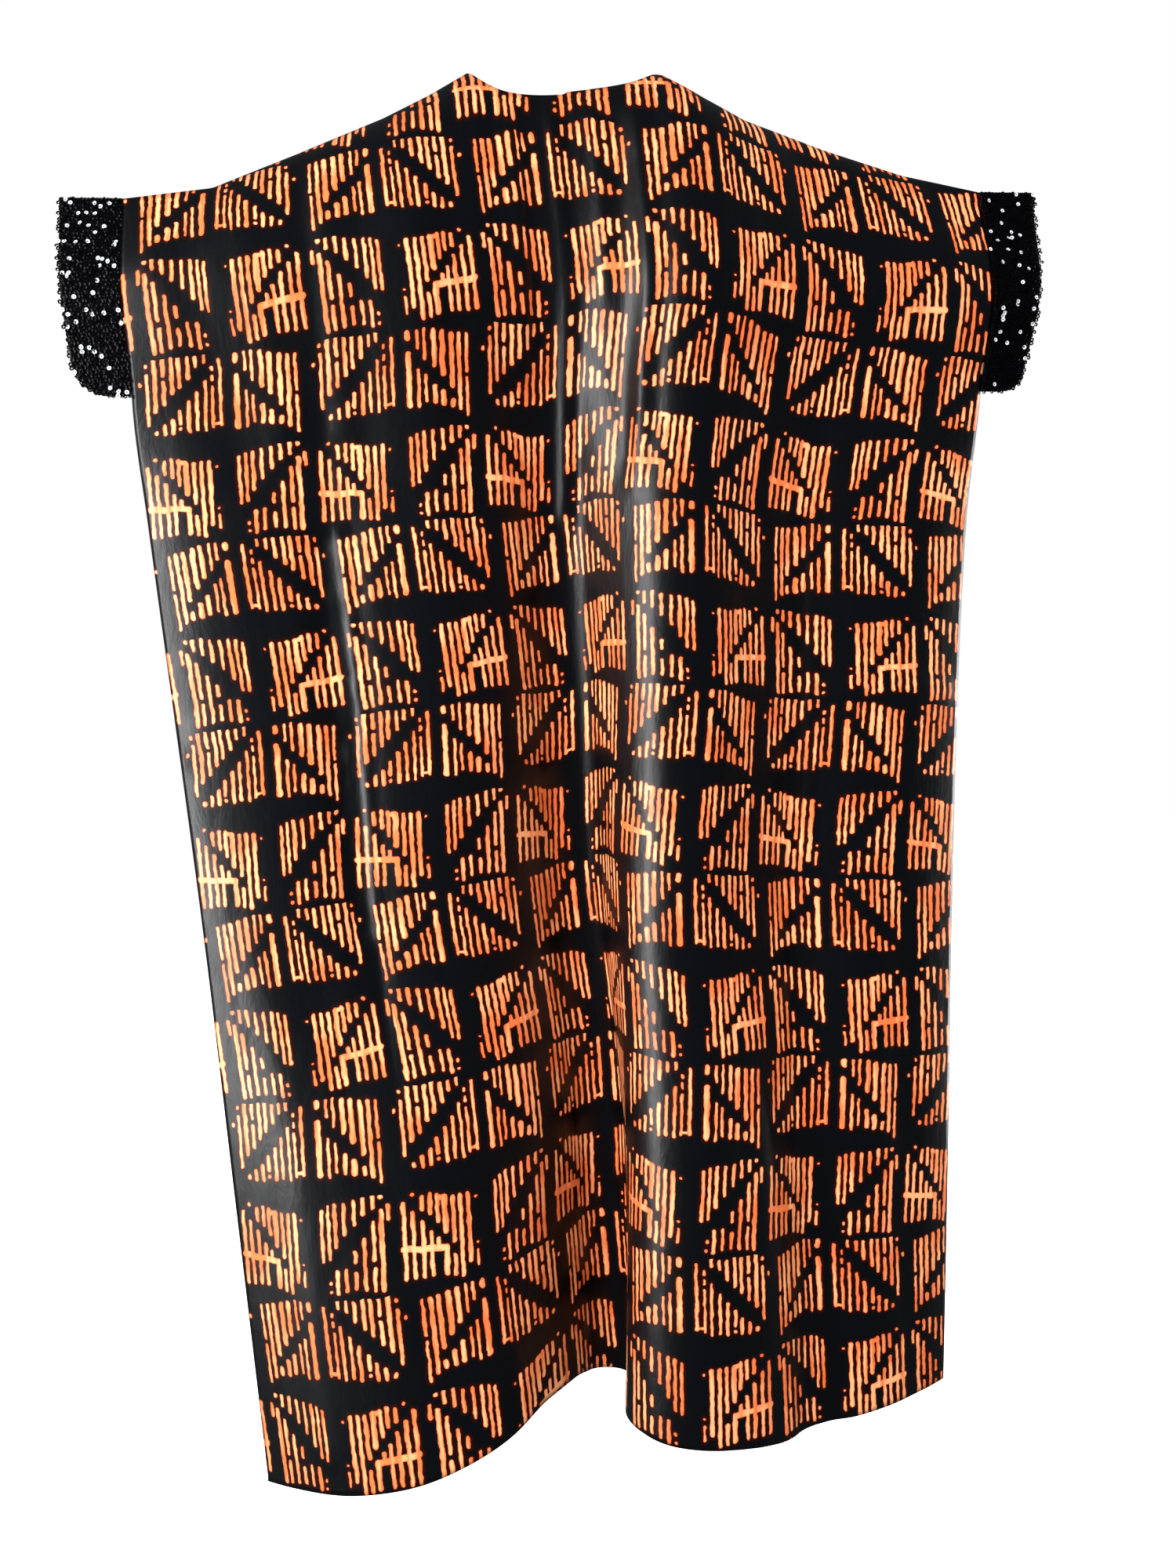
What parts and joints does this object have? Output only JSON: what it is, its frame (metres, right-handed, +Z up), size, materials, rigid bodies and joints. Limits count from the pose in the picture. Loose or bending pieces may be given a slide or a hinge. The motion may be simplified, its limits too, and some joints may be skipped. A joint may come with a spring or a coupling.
{
  "type": "kaftan dress",
  "caption": "Long loose kaftan dress of printed satin with a shallow back neckline, sequinned cuffs and a stitched line down each side, hanging hollow as worn.",
  "frame": {"origin": "midway between the two neck points, on the line of the shoulder seams, where the shoulders hold the dress up", "axes": "+Z up, +X to the right of the back view, -Y behind the wearer; the front panel is on +Y"},
  "size_m": [1.0401, 0.2522, 1.4535],
  "materials": {
    "satin": "printed polyester satin, near-black ground with orange hatched squares",
    "sequins": "black cloth covered with small round black sequins"
  },
  "bodies": {
    "root": {"back_panel": "satin", "front_panel": "satin", "cuff_left": "sequins", "cuff_right": "sequins"}
  },
  "joints": []
}
